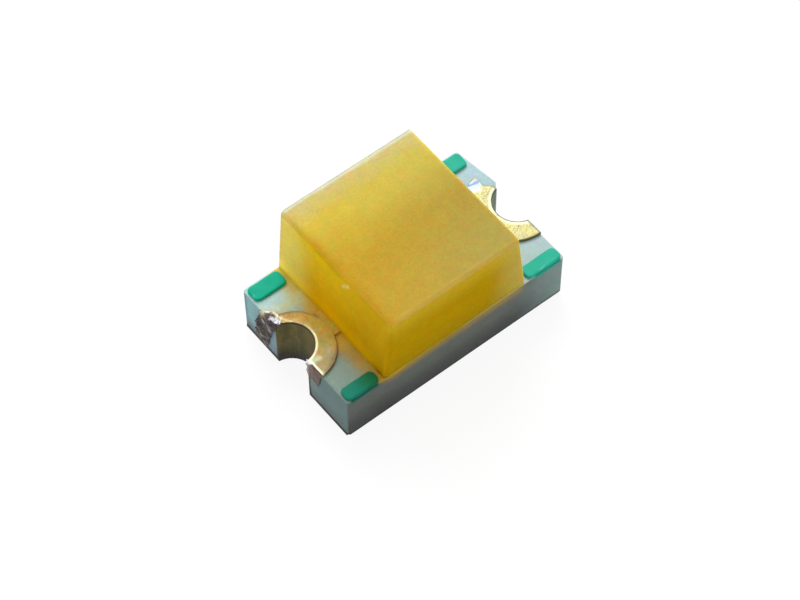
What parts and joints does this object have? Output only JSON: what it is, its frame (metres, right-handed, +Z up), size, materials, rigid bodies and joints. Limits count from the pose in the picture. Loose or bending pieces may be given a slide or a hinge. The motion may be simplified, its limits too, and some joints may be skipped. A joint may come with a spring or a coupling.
{
  "type": "smd led",
  "caption": "Surface-mount chip LED: a drafted amber phosphor-epoxy block over a wired die on a small plated laminate board with half-hole gold ends.",
  "frame": {"origin": "under the middle of the board, on the plane of the solder pads", "axes": "+X runs along the board, from the end with the torn plating towards the clean end; +Y runs across it; +Z points up, out of the block's flat top"},
  "size_m": [0.0021, 0.0012, 0.0011],
  "materials": {
    "laminate": "pale, slightly translucent glass-filled resin board, sawn at its edges",
    "worn_gold": "gold plating over copper, worn and tinted brown",
    "bright_gold": "bright gold plating over copper with a fine speckled grain",
    "phosphor_epoxy": "amber-yellow epoxy, clouded through by phosphor",
    "green_mask": "glossy teal-green solder mask",
    "sapphire": "polished bluish chip",
    "silver_glue": "silver-filled glue",
    "pure_gold": "soft bright gold",
    "torn_plating": "crumpled dark plating with bright folds"
  },
  "bodies": {
    "root": {"board": "laminate", "cathode_terminal": "worn_gold", "anode_terminal": "bright_gold", "lens_block": "phosphor_epoxy", "die_glue": "silver_glue", "led_die": "sapphire", "cathode_contact": "pure_gold", "anode_contact": "pure_gold", "cathode_wire": "pure_gold", "anode_wire": "pure_gold", "solder_mask_mark_near_front": "green_mask", "solder_mask_mark_near_back": "green_mask", "solder_mask_mark_far_front": "green_mask", "solder_mask_mark_far_back": "green_mask", "underside_mask": "green_mask", "torn_plating_shred": "torn_plating", "saw_smear": "torn_plating"}
  },
  "joints": []
}
